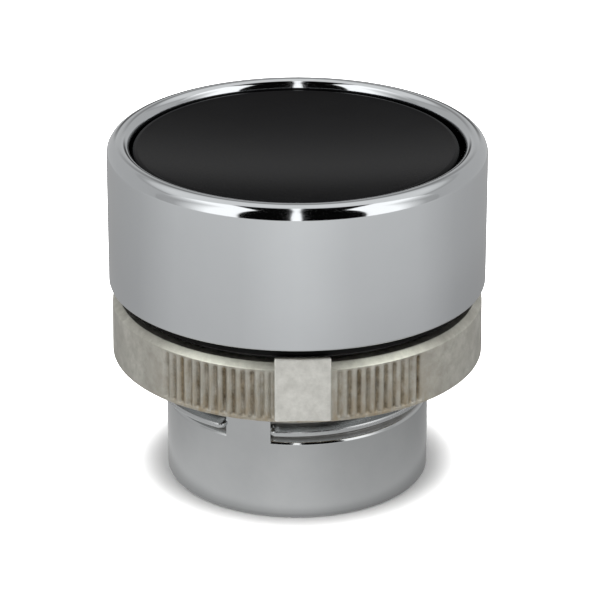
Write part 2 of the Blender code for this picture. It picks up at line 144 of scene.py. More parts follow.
def soft_block(name, low, high, edge, turn=0.0, segments=3):
    """A box between two corners in millimetres with rounded edges, turned about the axis."""
    bm = bmesh.new()
    bmesh.ops.create_cube(bm, size=1.0)
    bmesh.ops.scale(bm, vec=[(b - a) * MM for a, b in zip(low, high)], verts=bm.verts)
    bmesh.ops.translate(bm, vec=[(b + a) / 2 * MM for a, b in zip(low, high)], verts=bm.verts)
    bmesh.ops.bevel(
        bm, geom=bm.edges[:], offset=edge * MM, segments=segments, profile=0.5, affect="EDGES",
    )
    bmesh.ops.rotate(bm, cent=(0, 0, 0), matrix=Matrix.Rotation(turn, 3, "Z"), verts=bm.verts)
    return new_object(name, bm)


def finish_piece(obj, mat, body, nodes, sharp=35.0):
    """Shade a piece, give it its material and let it stand for its CAD nodes."""
    mesh = obj.data
    mesh.name = obj.name
    mesh.shade_smooth()
    mesh.set_sharp_from_angle(angle=radians(sharp))
    mesh.materials.clear()
    mesh.materials.append(mat)
    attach(obj, body)
    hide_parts(*nodes)
    return obj


# ---- node helpers -------------------------------------------------------------------------------------

def node(tree, kind, inputs=None, **settings):
    made = tree.nodes.new(kind)
    for key, value in settings.items():
        setattr(made, key, value)
    for key, value in (inputs or {}).items():
        if isinstance(value, bpy.types.NodeSocket):
            tree.links.new(value, made.inputs[key])
        else:
            made.inputs[key].default_value = value
    return made


def calc(tree, operation, *values, clamp=False):
    return node(
        tree, "ShaderNodeMath", dict(enumerate(values)), operation=operation, use_clamp=clamp
    ).outputs[0]


def remap(tree, value, from_low, from_high, to_low=0.0, to_high=1.0, smooth=False):
    return node(
        tree, "ShaderNodeMapRange", {0: value, 1: from_low, 2: from_high, 3: to_low, 4: to_high},
        interpolation_type="SMOOTHSTEP" if smooth else "LINEAR",
    ).outputs[0]


def noise(tree, coords, scale, detail=3.0, rough=0.5, distortion=0.0):
    return node(
        tree, "ShaderNodeTexNoise",
        {"Vector": coords, "Scale": scale, "Detail": detail, "Roughness": rough, "Distortion": distortion},
    ).outputs[0]


def mix_colour(tree, factor, a, b, blend="MIX"):
    """Between two colours, each one an output or a tuple of red, green and blue."""
    a, b = ((*colour, 1.0) if isinstance(colour, tuple) else colour for colour in (a, b))
    made = node(tree, "ShaderNodeMix", {0: factor, 6: a, 7: b}, data_type="RGBA", blend_type=blend)
    return made.outputs[2]


def ramp(tree, factor, stops):
    """Grey levels at places from 0 to 1."""
    made = node(tree, "ShaderNodeValToRGB", {0: factor})
    elements = made.color_ramp.elements
    for i, (place, level) in enumerate(stops):
        element = elements[i] if i < 2 else elements.new(place)
        element.position = place
        element.color = (level, level, level, 1.0)
    return made.outputs[0]


def product(tree, *factors):
    result = factors[0]
    for factor in factors[1:]:
        result = calc(tree, "MULTIPLY", result, factor)
    return result


def round_the_axis(tree, coords):
    """x, y, z, the distance from the axis and the angle from the front, towards +X."""
    x, y, z = node(tree, "ShaderNodeSeparateXYZ", {0: coords}).outputs
    squares = calc(tree, "ADD", calc(tree, "POWER", x, 2.0), calc(tree, "POWER", y, 2.0))
    turn = calc(tree, "ARCTAN2", x, calc(tree, "MULTIPLY", y, -1.0))
    return x, y, z, calc(tree, "SQRT", squares), turn


def stretched(tree, coords, scale):
    return node(tree, "ShaderNodeMapping", {"Vector": coords, "Scale": scale}).outputs[0]


def new_material(name):
    mat = bpy.data.materials.new(name)
    mat.use_nodes = True
    tree = mat.node_tree
    shader = tree.nodes["Principled BSDF"]
    coords = node(tree, "ShaderNodeTexCoord").outputs["Object"]
    return mat, tree, shader, coords


def connect(tree, shader, **sockets):
    for name, value in sockets.items():
        tree.links.new(value, shader.inputs[name.replace("_", " ")])


def bump(tree, height, depth, strength=1.0, under=None):
    inputs = {"Height": height, "Distance": depth, "Strength": strength}
    if under is not None:
        inputs["Normal"] = under
    return node(tree, "ShaderNodeBump", inputs).outputs[0]


# ---- materials ----------------------------------------------------------------------------------------

CHROME_TONES = ((0.55, 0.567, 0.58), (0.58, 0.597, 0.61))


def chrome_material():
    mat, tree, shader, coords = new_material("chrome_plate")
    shader.inputs["Metallic"].default_value = 1.0
    cloud = noise(tree, coords, 260.0, 4.0, 0.6)
    lines = noise(tree, stretched(tree, coords, (60.0, 60.0, 9000.0)), 1.0, 3.0, 0.6)
    speck = noise(tree, coords, 5200.0, 2.0, 0.5)
    colour = mix_colour(tree, cloud, *CHROME_TONES)
    worn = calc(tree, "MULTIPLY_ADD", lines, 0.035, calc(tree, "MULTIPLY_ADD", cloud, 0.05, 0.035))
    grain = calc(tree, "MULTIPLY_ADD", lines, 0.7, calc(tree, "MULTIPLY", speck, 0.3))
    connect(
        tree, shader, Base_Color=colour, Roughness=worn, Normal=bump(tree, grain, 0.0000012, 0.35),
    )
    return mat


ZINC_TONES = ((0.485, 0.50, 0.505), (0.545, 0.555, 0.555))
# colour of the painted shade between the ridges of the thread
PAINTED_RECESS_SHADE = (0.24, 0.235, 0.225)
RECESS_R = (10.24, 10.08)    # between the ridges the surface is rough and darkened with painted shade, from none of it to all of it
CREST_FROM_R = (10.40, 10.50)
OUTSIDE_R = 9.5              # what is nearer to the axis is the bore


def satin_zinc_material():
    """Bright on the tube, rough and darkened with painted shade between the ridges of the thread."""
    mat, tree, shader, coords = new_material("satin_zinc")
    shader.inputs["Metallic"].default_value = 1.0
    cloud = noise(tree, coords, 420.0, 4.0, 0.6)
    grain = noise(tree, coords, 6000.0, 3.0, 0.6)
    lines = noise(tree, stretched(tree, coords, (90.0, 90.0, 6000.0)), 1.0, 3.0, 0.6)
    colour = mix_colour(tree, cloud, *ZINC_TONES)
    _, _, z, far, _ = round_the_axis(tree, coords)
    above = calc(tree, "GREATER_THAN", z, SHOULDER_Z * MM)
    outside = calc(tree, "GREATER_THAN", far, OUTSIDE_R * MM)
    recess = product(tree, above, outside, remap(tree, far, RECESS_R[0] * MM, RECESS_R[1] * MM))
    crest = remap(tree, far, CREST_FROM_R[0] * MM, CREST_FROM_R[1] * MM)
    # Painted shade darkens the surface between the ridges, mottled by noise.
    recess_shade_mottle = remap(tree, noise(tree, coords, 900.0, 3.0, 0.6), 0.3, 0.7, 0.75, 1.0)
    colour = mix_colour(tree, product(tree, recess, recess_shade_mottle), colour, PAINTED_RECESS_SHADE)
    rough = calc(tree, "MULTIPLY_ADD", cloud, 0.06, calc(tree, "MULTIPLY_ADD", grain, 0.05, 0.05))
    rough = calc(tree, "MULTIPLY_ADD", crest, 0.16, rough)
    rough = calc(tree, "MULTIPLY_ADD", recess, 0.32, rough)
    height = calc(tree, "MULTIPLY_ADD", lines, 0.4, grain)
    connect(
        tree, shader, Base_Color=colour, Roughness=rough, Normal=bump(tree, height, 0.0000015, 0.4),
    )
    return mat


NUT_TONES = ((0.345, 0.340, 0.300), (0.520, 0.510, 0.465))
NUT_DULL = (0.30, 0.285, 0.25)
NUT_FILM = (0.300, 0.250, 0.175)
NUT_STAINS = ((0.05, 0.038, 0.022), (0.29, 0.240, 0.165))
NUT_CLEAN = ((0.52, 0.516, 0.480), (0.68, 0.675, 0.635))
# near-white worn metal with a painted highlight, for the upper chamfer
NUT_WEAR_AND_HIGHLIGHT = ((0.80, 0.81, 0.70), (0.95, 0.96, 0.84))
HOLLOW_SHARES = (0.25, 0.90)      # dirt starts and is full at these shares of a groove's depth
DIRT_DROP = (0.55, 0.75)          # and at these distances below the nut's top, in millimetres
EDGE_DROP = (0.50, 0.42)          # the worn edge with its painted highlight ends and is full at these distances below it
FILM_DROP = (0.60, 4.60)          # the brown film gets stronger between these
PAD_RISE = (0.08, 0.11)           # the pad is what stands out by this much
SIDEWAYS = (0.80, 0.54)           # the nut's smooth sides and its ribbed front, as a share of x
# the painted highlight on the worn edge grows from dim in front of the pad to full between these shares of x
BESIDE_PAD = (0.14, 0.42)


def raw_zinc_material(top_z):
    """Cast zinc: dirt in the grooves, a brown film over the ribs, a clean pad and a worn upper edge with a
    painted highlight.
    """
    mat, tree, shader, coords = new_material("raw_zinc")
    shader.inputs["Metallic"].default_value = 0.9
    x, _, z, far, turn = round_the_axis(tree, coords)
    nut_r, depth = NUT_R * MM, RIB_DEPTH * MM

    def drop(heights, low=0.0, high=1.0):
        return remap(tree, z, top_z - heights[0] * MM, top_z - heights[1] * MM, low, high)

    hollow_from, hollow_to = (nut_r - share * depth for share in HOLLOW_SHARES)
    groove = product(tree, remap(tree, far, hollow_from, hollow_to, smooth=True), drop(DIRT_DROP))
    raised = remap(tree, far, nut_r + PAD_RISE[0] * MM, nut_r + PAD_RISE[1] * MM)
    index = calc(tree, "ROUND", calc(tree, "DIVIDE", calc(tree, "SUBTRACT", turn, RIB_PHASE), RIB_PITCH))
    each = node(tree, "ShaderNodeTexWhiteNoise", {1: index}, noise_dimensions="1D").outputs[0]
    cloud = noise(tree, coords, 1100.0, 5.0, 0.7)
    wide = noise(tree, coords, 330.0, 3.0, 0.6)
    streak = noise(tree, stretched(tree, coords, (1800.0, 1800.0, 620.0)), 1.0, 3.0, 0.6)
    grain = noise(tree, coords, 5200.0, 3.0, 0.6)
    patch = remap(tree, cloud, 0.32, 0.68)

    amount = remap(tree, calc(tree, "MULTIPLY_ADD", each, 0.5, streak), 0.45, 0.95, 0.20, 1.0)
    dirt = product(tree, groove, amount)
    sideways = calc(tree, "DIVIDE", calc(tree, "ABSOLUTE", x), calc(tree, "ADD", far, 0.0001))
    facing = remap(tree, sideways, *SIDEWAYS, smooth=True)
    # Painted highlight on the upper chamfer, partly real wear: brightest beside the pad, fading to the
    # sides.
    wear_and_highlight = product(
        tree, drop(EDGE_DROP), calc(tree, "LESS_THAN", z, top_z), calc(tree, "SUBTRACT", 1.0, raised),
        remap(tree, facing, 0.0, 1.0, 0.12, 1.0), remap(tree, sideways, *BESIDE_PAD, 0.40, 1.0),
        remap(tree, patch, 0.0, 1.0, 0.70, 1.0),
    )
    film = product(tree, facing, drop(FILM_DROP, 0.25, 1.0), remap(tree, streak, 0.35, 0.65, 0.15, 1.0))

    colour = mix_colour(tree, patch, *NUT_TONES)
    colour = mix_colour(tree, remap(tree, wide, 0.35, 0.65, 0.0, 0.55), colour, NUT_DULL)
    colour = mix_colour(tree, film, colour, NUT_FILM)
    colour = mix_colour(tree, dirt, colour, mix_colour(tree, patch, *NUT_STAINS))
    colour = mix_colour(tree, raised, colour, mix_colour(tree, patch, *NUT_CLEAN))
    colour = mix_colour(tree, wear_and_highlight, colour, mix_colour(tree, cloud, *NUT_WEAR_AND_HIGHLIGHT))
    rough = calc(tree, "MULTIPLY_ADD", cloud, 0.16, calc(tree, "MULTIPLY_ADD", dirt, 0.15, 0.36))
    height = calc(tree, "MULTIPLY_ADD", cloud, 0.8, calc(tree, "MULTIPLY", grain, 0.5))
    connect(
        tree, shader, Base_Color=colour, Roughness=rough, Normal=bump(tree, height, 0.00003, 0.6),
    )
    return mat


PLASTIC_TONES = ((0.0007, 0.0007, 0.0008), (0.0012, 0.0012, 0.0013))


def black_plastic_material():
    mat, tree, shader, coords = new_material("black_plastic")
    shader.inputs["Specular IOR Level"].default_value = 0.037
    cloud = noise(tree, coords, 350.0, 4.0, 0.6)
    grain = noise(tree, coords, 9000.0, 3.0, 0.6)
    colour = mix_colour(tree, cloud, *PLASTIC_TONES)
    rough = calc(tree, "MULTIPLY_ADD", cloud, 0.05, calc(tree, "MULTIPLY_ADD", grain, 0.04, 0.09))
    connect(tree, shader, Base_Color=colour, Roughness=rough, Normal=bump(tree, grain, 0.000005, 0.5))
    return mat


def plain_material(name, dark, light, rough, spread, metallic=0.0, gloss=0.5, scale=900.0, depth=0.00001):
    """A moulded or drawn surface: clouds between two tones, grain in its roughness and its relief."""
    mat, tree, shader, coords = new_material(name)
    shader.inputs["Metallic"].default_value = metallic
    shader.inputs["Specular IOR Level"].default_value = gloss
    cloud = noise(tree, coords, scale, 4.0, 0.6)
    grain = noise(tree, coords, scale * 8, 3.0, 0.6)
    colour = mix_colour(tree, cloud, dark, light)
    roughness = calc(tree, "MULTIPLY_ADD", grain, spread, rough)
    connect(tree, shader, Base_Color=colour, Roughness=roughness, Normal=bump(tree, grain, depth, 0.5))
    return mat


# ---- pieces -------------------------------------------------------------------------------------------

# Sizes below are in millimetres, except those of the studio.

RIM_OUTER_R, RIM_INNER_R = 1.00, 0.70        # roundings of the rim
BEZEL_BORE_R, BEZEL_POCKET_R, BEZEL_POCKET_DEPTH = 12.95, 13.85, 3.78


def make_bezel(mat):
    low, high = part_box("bezel_ring")
    outer, z0, z1 = high.x / MM, low.z / MM, high.z / MM
    pocket_z = z0 + BEZEL_POCKET_DEPTH
    outline = rounded(
        [
            (outer, z1, RIM_OUTER_R), (outer, z0, 0.18), (BEZEL_POCKET_R, z0, 0.12),
            (BEZEL_POCKET_R, pocket_z, 0.10), (BEZEL_BORE_R, pocket_z + BEZEL_POCKET_R - BEZEL_BORE_R, 0.15),
            (BEZEL_BORE_R, z1, RIM_INNER_R),
        ],
        segments=12,
    )
    return finish_piece(lathe("bezel", outline), mat, "housing", ["bezel_ring"])


CAP_DISH = 0.75              # depth of the hollow in its top
CAP_DISH_STATIONS = 20
CAP_EDGE = 0.5               # the hollow ends this far from the cap's side
CAP_TOP = 1.5                # thickness under its edge
CAP_WALL = 1.05
CAP_SKIRT_Z = 24.0
CAP_HUB_R, CAP_SOCKET_R, CAP_SOCKET_DROP = 7.60, 6.50, 0.7
CAP_CENTRE = (-0.1 * MM, 0.1 * MM)           # it sits a little aside in the bezel


def make_cap(mat):
    low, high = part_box("button_cap")
    outer, edge_z, hub_z = high.x / MM, high.z / MM, low.z / MM
    inner, under = outer - CAP_WALL, edge_z - CAP_TOP
    dish_r = (outer**2 + CAP_DISH**2) / (2 * CAP_DISH)
    corners = []
    for k in range(CAP_DISH_STATIONS + 1):
        r = (outer - CAP_EDGE) * k / CAP_DISH_STATIONS
        corners.append((r, edge_z - 0.02 - CAP_DISH + dish_r - sqrt(dish_r**2 - r**2), 0))
    corners += [
        (outer, edge_z, 0.38), (outer, CAP_SKIRT_Z, 0.10), (inner, CAP_SKIRT_Z, 0.10), (inner, under, 0.30),
        (CAP_HUB_R, under, 0.30), (CAP_HUB_R, hub_z, 0.10), (CAP_SOCKET_R, hub_z, 0.10),
        (CAP_SOCKET_R, under - CAP_SOCKET_DROP, 0.20), (0.0, under - CAP_SOCKET_DROP, 0),
    ]
    cap = lathe("cap", rounded(corners, 6, closed=False), closed=False, centre=CAP_CENTRE)
    return finish_piece(cap, mat, "button", ["button_cap"])


GASKET_INNER_R = 11.20


def make_gasket(mat):
    low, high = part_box("panel_gasket")
    z0, z1, outer = low.z / MM, high.z / MM, high.x / MM
    corners = [(outer, z1, 0.15), (outer, z0, 0.15), (GASKET_INNER_R, z0, 0.10), (GASKET_INNER_R, z1, 0.10)]
    gasket = lathe("gasket", rounded(corners, 4))
    return finish_piece(gasket, mat, "housing", ["panel_gasket"])


def sweep(name, section_at, start, end, rise, steps):
    """Sweep a section round the axis while it rises; section_at gives its points for a share of the way."""
    bm = bmesh.new()
    columns = []
    for share in steps:
        angle = start + (end - start) * share
        columns.append([at(angle, r * MM, z * MM + rise * share) for r, z in section_at(share)])
    add_skin(bm, columns, closed_ring=False)
    return new_object(name, bm)


GAP = (radians(-32.0), radians(-11.5))      # plain strip that interrupts the thread
PITCH = 1.5
THREAD_FRONT_Z = 7.50        # height of the thread's crest in front, at its lowest turn
CREST_R, ROOT_R, RELIEF_R, SHOULDER_Z = 10.90, 10.05, 9.95, 6.42
RIDGE_FOOT = (0.40, 0.66)    # depth of a ridge's foot under the root and its half width
RIDGE_PROFILE = ((0.12, 0.235), (0.035, 0.195), (0.0, 0.125))    # depth under the crest and half width
RIDGE_END = 0.45             # length over which a ridge rounds off at its ends
RIDGE_END_DROP, RIDGE_END_SLIM = 0.5, 0.10   # and what its height and half width lose there
RIDGE_END_SHARES = (0.0, 0.04, 0.12, 0.24, 0.40, 0.60, 0.80, 1.0)
RIDGE_STEP = radians(2.0)
THREAD_TURNS = 5


def ridge(name, start, end):
    """One turn of the thread between the sides of the plain strip, its ends rounded."""
    length = (end - start) * CREST_R
    z = THREAD_FRONT_Z + PITCH * start / tau

    def section(share):
        left = min(share, 1 - share) * length
        full = min(1.0, left / RIDGE_END)
        crest = CREST_R - RIDGE_END_DROP * (1 - sqrt(1 - (1 - full) ** 2))
        slim = RIDGE_END_SLIM * (1 - full)
        upper = [(ROOT_R - RIDGE_FOOT[0], RIDGE_FOOT[1])]
        upper += [(crest - depth, half - slim) for depth, half in RIDGE_PROFILE]
        return [(r, z + half) for r, half in upper] + [(r, z - half) for r, half in reversed(upper)]

    ends = [RIDGE_END * share for share in RIDGE_END_SHARES]
    stations = [e / length for e in ends]
    inner = max(2, round((end - start) / RIDGE_STEP))
    low, high = stations[-1], 1 - stations[-1]
    stations += [low + (high - low) * k / inner for k in range(1, inner)]
    stations += [1 - e / length for e in reversed(ends)]
    return sweep(name, section, start, end, PITCH * MM * (end - start) / tau, stations)


TUBE_R, TUBE_INNER_R, TUBE_MOUTH_R = 10.33, 8.90, 8.95
SHELF_Z, SHELF_HOLE_R = (8.90, 10.40), 4.35
BORE_R = 9.00
COLLAR_R = 11.50
FLANGE_R, FLANGE_TOP_Z = 13.70, 19.70
O_RING_GROOVE_R, O_RING_GROOVE_Z = 12.90, (17.50, 18.50)
STRIP_DEPTH = 0.5            # the plain strip's foot under the relief
STRIP_OVERLAPS = (0.6, 0.1)  # how far it goes into the tube and stays short of the bezel
STRIP_STATIONS = 20
FIRST_RIDGE = radians(-100.0)                # where the lowest ridge starts


def make_shank(mat):
    low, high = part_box("threaded_shank")
    flange_z0, z0, z1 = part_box("bezel_ring")[0].z / MM, low.z / MM, high.z / MM
    groove_z0, groove_z1 = O_RING_GROOVE_Z
    corners = [
        (COLLAR_R, z1, 0.15), (COLLAR_R, FLANGE_TOP_Z, 0.15), (FLANGE_R, FLANGE_TOP_Z, 0.15),
        (FLANGE_R, groove_z1, 0.05), (O_RING_GROOVE_R, groove_z1, 0.08), (O_RING_GROOVE_R, groove_z0, 0.08),
        (FLANGE_R, groove_z0, 0.05), (FLANGE_R, flange_z0, 0.10),
        (ROOT_R, flange_z0, 0.10), (ROOT_R, SHOULDER_Z + 0.60, 0.05),
        (RELIEF_R, SHOULDER_Z + TUBE_R - RELIEF_R, 0.04), (TUBE_R, SHOULDER_Z, 0.40), (TUBE_R, z0, 0.40),
        (TUBE_MOUTH_R, z0, 0.12), (TUBE_INNER_R, SHELF_Z[0], 0.25), (SHELF_HOLE_R, SHELF_Z[0], 0.08),
        (SHELF_HOLE_R, SHELF_Z[1], 0.08), (BORE_R, SHELF_Z[1], 0.25), (BORE_R, z1, 0.15),
    ]
    shank = lathe("shank", rounded(corners, 6), SHANK_STEPS)
    strip_r = RELIEF_R - STRIP_DEPTH
    strip_z0, strip_z1 = SHOULDER_Z - STRIP_OVERLAPS[0], flange_z0 - STRIP_OVERLAPS[1]
    section = [(strip_r, strip_z1), (TUBE_R, strip_z1), (TUBE_R, strip_z0), (strip_r, strip_z0)]
    stations = [k / STRIP_STATIONS for k in range(STRIP_STATIONS + 1)]
    strip = sweep("plain_strip", lambda share: section, GAP[0], GAP[1], 0.0, stations)
    combine(shank, strip, "UNION")
    combine(shank, ridge("ridge_0", FIRST_RIDGE, GAP[0]), "UNION")
    for turn in range(THREAD_TURNS):
        combine(shank, ridge(f"ridge_{turn + 1}", GAP[1] + turn * tau, GAP[0] + (turn + 1) * tau), "UNION")
    return finish_piece(shank, mat, "housing", ["threaded_shank"], sharp=28.0)


NUT_R = 14.50
NUT_TOP = 14.88
NUT_BORE_R = 11.08
NUT_FLARE = 0.05             # the nut is wider at its foot by this much
NUT_CHAMFER = (0.56, 0.44)   # its run along the radius and its drop
PAD_ANGLE = radians(1.65)
PAD_HALF_WIDTH, PAD_R, PAD_FOOT, PAD_EDGE = 2.14, (14.06, 14.62), 0.13, 0.16
RIB_PHASE = radians(1.15)
RIB_PITCH = radians(2.96)
RIB_DEPTH = 0.22
RIB_INDICES = (*range(-15, -2), *range(4, 14))
RIB_FOOT, RIB_HEAD = 0.30, 0.02              # grooves end this far from the nut's foot and its chamfer
RIB_FADE = (0.20, 0.40)      # length of a groove's fading end at its foot and at its head
RIB_STATIONS = 29 * 12       # columns over a ribbed stretch, twelve for each rib
SMOOTH_STATIONS = 64
WALL_UNDER_HEAD = (0.16, 0.22, 0.28, 0.34, 0.42)
WALL_MIDDLE_Z = (13.2, 12.2)
WALL_OVER_FOOT = (0.30, 0.22, 0.15, 0.08, 0.03, -0.02)


def groove_depth(angle):
    """Share of the full groove depth at an angle round the nut."""
    for side in (0.0, pi):
        turn = (angle - side - RIB_PHASE + pi) % tau - pi
        index = round(turn / RIB_PITCH)
        if index in RIB_INDICES:
            return cos((turn / RIB_PITCH - index) * pi) ** 2
    return 0.0


def nut_outline(z0):
    run, drop = NUT_CHAMFER
    rib_foot, rib_top = z0 + RIB_FOOT, NUT_TOP - drop - RIB_HEAD
    wall = [rib_top - down for down in WALL_UNDER_HEAD]
    wall += WALL_MIDDLE_Z
    wall += [rib_foot + up for up in WALL_OVER_FOOT]
    corners = [(NUT_BORE_R, z0, 0.15), (NUT_BORE_R, NUT_TOP, 0.15), (NUT_R - run, NUT_TOP, 0.10)]
    corners += [(NUT_R, NUT_TOP - drop, 0.12)]
    corners += [(NUT_R + NUT_FLARE * (rib_top - z) / (rib_top - z0), z, 0) for z in wall]
    corners += [(NUT_R + NUT_FLARE, z0, 0.14)]
    return rounded(corners, 5), rib_foot, rib_top


def nut_angles():
    """Angles of the nut's columns, close together over the ribs."""
    angles = []
    first, last = RIB_INDICES[0] - 0.5, RIB_INDICES[-1] + 0.5
    ribbed = RIB_PITCH * (last - first)
    for side in (0.0, pi):
        start = side + RIB_PHASE + RIB_PITCH * first
        angles += [start + ribbed * k / RIB_STATIONS for k in range(RIB_STATIONS)]
        angles += [start + ribbed + (pi - ribbed) * k / SMOOTH_STATIONS for k in range(SMOOTH_STATIONS)]
    return angles


def make_nut(mat):
    low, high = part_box("ring_nut")
    z0, pad_top = low.z / MM, high.z / MM
    outline, rib_foot, rib_top = nut_outline(z0)
    columns = []
    for angle in nut_angles():
        depth = groove_depth(angle) * RIB_DEPTH * MM
        column = []
        for point in outline:
            radius, z = point.x, point.y / MM
            if radius > (NUT_BORE_R + NUT_R) / 2 * MM:
                foot = max(0.0, min(1.0, (z - rib_foot) / RIB_FADE[0]))
                head = max(0.0, min(1.0, (rib_top - z) / RIB_FADE[1]))
                radius -= depth * foot * (2 - foot) * head * (2 - head)
            column.append(at(angle, radius, point.y))
        columns.append(column)
    bm = bmesh.new()
    add_skin(bm, columns)
    nut = new_object("nut", bm)
    pad_low, pad_high = (-PAD_HALF_WIDTH, -PAD_R[1], z0 + PAD_FOOT), (PAD_HALF_WIDTH, -PAD_R[0], pad_top)
    for i, side in enumerate((0.0, pi)):
        pad = soft_block(f"pad_{i}", pad_low, pad_high, PAD_EDGE, side + PAD_ANGLE, 4)
        combine(nut, pad, "UNION")
    return finish_piece(nut, mat, "nut", ["ring_nut"])


WASHER_R = (11.20, 13.30)
KEY_HALF_WIDTH, KEY_R = 1.6, (10.45, 11.6)


def make_lock_washer(mat):
    low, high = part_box("lock_washer")
    z0, z1 = low.z / MM, high.z / MM
    inner, outer = WASHER_R
    corners = [(outer, z1, 0.06), (outer, z0, 0.06), (inner, z0, 0.05), (inner, z1, 0.05)]
    washer = lathe("washer", rounded(corners, 3))
    key_low, key_high = (-KEY_HALF_WIDTH, -KEY_R[1], z0), (KEY_HALF_WIDTH, -KEY_R[0], z1)
    key = soft_block("key", key_low, key_high, 0.05, sum(GAP) / 2, 2)
    combine(washer, key, "UNION")
    return finish_piece(washer, mat, "washer", ["lock_washer"])


SPRING_R = 6.20
SPRING_WIRE_R = 0.35
SPRING_TURNS = 4.0
SPRING_FLAT_TURNS = 0.75     # turns of each end that lie flat
SPRING_FLAT_PITCH = 0.784
SPRING_STATIONS = 192
WIRE_SIDES = 12


def make_spring(mat):
    """The compression spring, with its end turns lying flat."""
    low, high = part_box("return_spring")
    first, last = low.z / MM + SPRING_WIRE_R, high.z / MM - SPRING_WIRE_R
    free_turns = SPRING_TURNS - 2 * SPRING_FLAT_TURNS
    free_rise = last - first - 2 * SPRING_FLAT_TURNS * SPRING_FLAT_PITCH

    def section(share):
        turns = share * SPRING_TURNS
        free = max(0.0, min(1.0, (turns - SPRING_FLAT_TURNS) / free_turns))
        z = first + free * free_rise + (turns - free * free_turns) * SPRING_FLAT_PITCH
        around = [tau * k / WIRE_SIDES for k in range(WIRE_SIDES)]
        return [(SPRING_R + SPRING_WIRE_R * cos(a), z + SPRING_WIRE_R * sin(a)) for a in around]

    start = pi / 2
    stations = [k / SPRING_STATIONS for k in range(SPRING_STATIONS + 1)]
    spring = sweep("spring", section, start, start + tau * SPRING_TURNS, 0.0, stations)
    finish_piece(spring, mat, "housing", ["return_spring"])
    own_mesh(spring)


# ---- studio -------------------------------------------------------------------------------------------

STUDIO_LEVEL = 2.0           # strength of the world where the level is 1
WALL_DISTANCE = 1.4          # how far the wall in front and the ceiling are, in any one unit
CEILING_HEIGHT = 2.8
CARD = (                     # place across the wall and the ceiling, and its level
    (-60.0, 0.25), (-5.6, 0.28), (-3.0, 0.50), (-1.9, 0.85), (-0.98, 0.85), (-0.94, 0.001), (-0.087, 0.001),
    (-0.083, 0.90), (0.059, 0.90), (0.063, 0.001), (1.17, 0.001), (1.21, 0.85), (2.5, 0.85), (4.0, 0.50),
    (8.0, 0.28), (60.0, 0.25),
)
REAR_WALL = (                # elevation in degrees and level
    (0.0, 0.32), (3.0, 0.28), (6.0, 0.02), (10.0, 0.02), (12.7, 0.06), (15.0, 0.19), (17.2, 0.34),
    (21.4, 0.30), (23.0, 0.26), (26.0, 0.20), (29.0, 0.17), (36.0, 0.14), (42.0, 0.40), (50.0, 0.50),
    (90.0, 0.50),
)
REAR_SIDES = 0.30            # level of the rear wall's lower part away from its middle
REAR_SIDES_FROM = (8.0, 20.0)                # angles from straight back between which it sets in
REAR_SIDES_TOP = (42.0, 34.0)                # elevations between which it sets in
REAR_FROM = (0.05, 0.30)     # the rear wall takes over from the ceiling between these
FLOOR_DISC_R = 125.0
FLOOR_AROUND = (             # painted light in mirrors, brighter in front than behind: angle from the front in degrees and level
    (0.0, 0.985), (10.0, 0.96), (20.0, 0.90), (30.0, 0.845), (60.0, 0.81), (70.0, 0.79), (82.0, 0.72),
    (99.0, 0.62), (115.0, 0.575), (130.0, 0.53), (144.0, 0.48), (165.0, 0.39), (180.0, 0.38),
)
FLOOR_OUTWARD = (            # distance from the axis and level; the low levels near the axis are a painted contact shadow
    (0.0, 0.30), (10.3, 0.50), (11.0, 0.60), (12.4, 0.92), (23.0, 0.80), (51.0, 0.85), (83.0, 0.98),
    (125.0, 1.0),
)
FLOOR_SHADE = 0.26           # painted shadow: the disc is darker by this share to the right of the part
FLOOR_SHADE_SIDES = (-0.7, 0.95)             # from the left to the right, as a share of x
FLOOR_SHADE_R = (60.0, 25.0)
FLOOR_HALF = 0.9


def make_floor():
    """A white floor. In mirrors it is a glowing disc round the part, painted brighter in front than behind,
    with painted shadow close round the part and to its right.
    """
    bm = bmesh.new()
    bmesh.ops.create_grid(bm, x_segments=2, y_segments=2, size=FLOOR_HALF)
    floor = new_object("floor", bm)
    mat = bpy.data.materials.new("pale_floor")
    mat.use_nodes = True
    mat.cycles.emission_sampling = "NONE"
    tree = mat.node_tree
    shader = tree.nodes["Principled BSDF"]
    shader.inputs["Roughness"].default_value = 0.9
    shader.inputs["Specular IOR Level"].default_value = 0.0
    coords = node(tree, "ShaderNodeTexCoord").outputs["Object"]
    pale = mix_colour(tree, noise(tree, coords, 60.0), (0.86, 0.86, 0.86), (0.88, 0.88, 0.88))
    connect(tree, shader, Base_Color=pale)
    x, _, _, far, turn = round_the_axis(tree, coords)
    around = ramp(
        tree, calc(tree, "DIVIDE", calc(tree, "ABSOLUTE", turn), pi),
        [(angle / 180.0, level) for angle, level in FLOOR_AROUND],
    )
    outward = ramp(
        tree, calc(tree, "DIVIDE", far, FLOOR_DISC_R * MM),
        [(r / FLOOR_DISC_R, level) for r, level in FLOOR_OUTWARD],
    )
    # Painted shadow, darker to the right of the part and close to it.
    right = remap(tree, calc(tree, "DIVIDE", x, calc(tree, "ADD", far, 0.0001)), *FLOOR_SHADE_SIDES)
    near = remap(tree, far, FLOOR_SHADE_R[0] * MM, FLOOR_SHADE_R[1] * MM)
    shade = calc(tree, "MULTIPLY_ADD", product(tree, right, near), -FLOOR_SHADE, 1.0)
    glow = node(
        tree, "ShaderNodeEmission",
        {"Color": mix_colour(tree, 1.0, around, outward, "MULTIPLY"), "Strength": shade},
    ).outputs[0]
    beyond = calc(tree, "GREATER_THAN", far, FLOOR_DISC_R * MM)
    clear = node(tree, "ShaderNodeBsdfTransparent").outputs[0]
    mirrored = node(tree, "ShaderNodeMixShader", {0: beyond, 1: glow, 2: clear}).outputs[0]
    glossy = node(tree, "ShaderNodeLightPath").outputs["Is Glossy Ray"]
    both = node(tree, "ShaderNodeMixShader", {0: glossy, 1: shader.outputs[0], 2: mirrored}).outputs[0]
    tree.links.new(both, tree.nodes["Material Output"].inputs["Surface"])
    floor.data.materials.append(mat)


